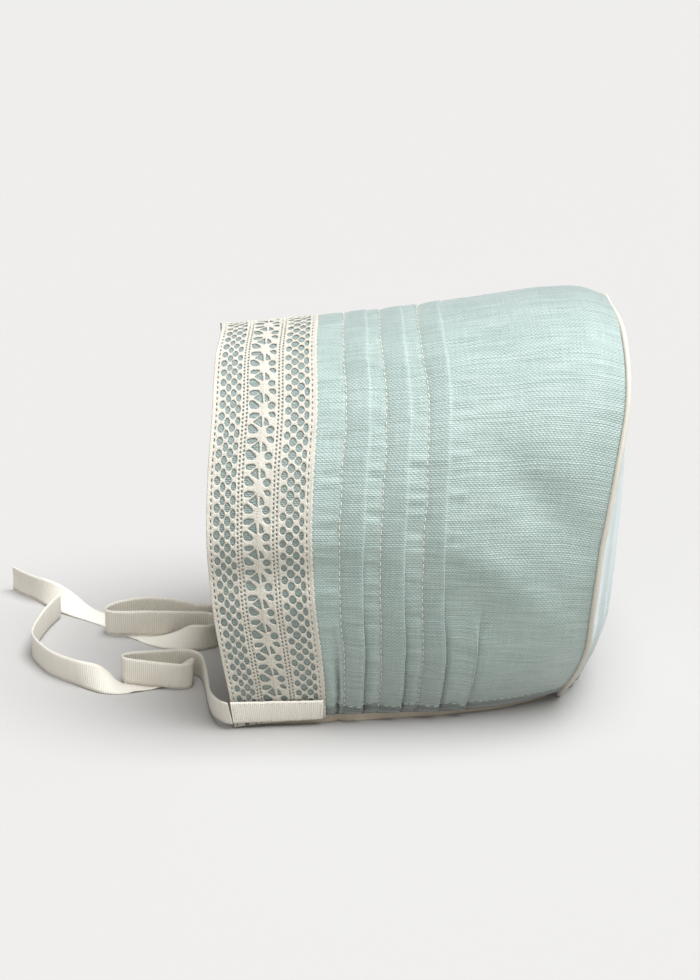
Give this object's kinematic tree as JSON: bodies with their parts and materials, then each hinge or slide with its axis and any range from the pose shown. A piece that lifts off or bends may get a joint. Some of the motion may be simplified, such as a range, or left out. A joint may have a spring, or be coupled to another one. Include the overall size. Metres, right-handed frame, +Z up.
{
  "type": "baby bonnet",
  "caption": "Hollow soft bonnet for a baby: lace band around the face, stitched tucks, corded piping round a gathered back panel, cotton lining and loose ribbon ties.",
  "frame": {"origin": "on the flat surface that the neck edge rests on, under the middle of the bonnet measured without its two free ties", "axes": "+Z up out of that surface, -Y the way the face opening looks, +X towards the wearer's left"},
  "size_m": [0.1478, 0.2372, 0.1486],
  "materials": {
    "crown_linen": "woven slub linen, matt, duck-egg green",
    "lining_cotton": "soft cotton, matt, cream",
    "lace_cotton": "cotton lace, matt, ivory",
    "piping_cotton": "cotton over cord, matt, cream",
    "back_panel_linen": "woven slub linen, matt, duck-egg green",
    "tab_left_ribbon": "grosgrain ribbon, satin, ivory",
    "tab_right_ribbon": "grosgrain ribbon, satin, ivory",
    "tie_left_ribbon": "grosgrain ribbon, satin, ivory",
    "tie_right_ribbon": "grosgrain ribbon, satin, ivory"
  },
  "bodies": {
    "root": {"crown": "crown_linen", "lining": "lining_cotton", "lace_band": "lace_cotton", "piping": "piping_cotton", "back_panel": "back_panel_linen", "ribbon_tab_left": "tab_left_ribbon", "ribbon_tab_right": "tab_right_ribbon", "tie_left": "tie_left_ribbon", "tie_right": "tie_right_ribbon"}
  },
  "joints": []
}
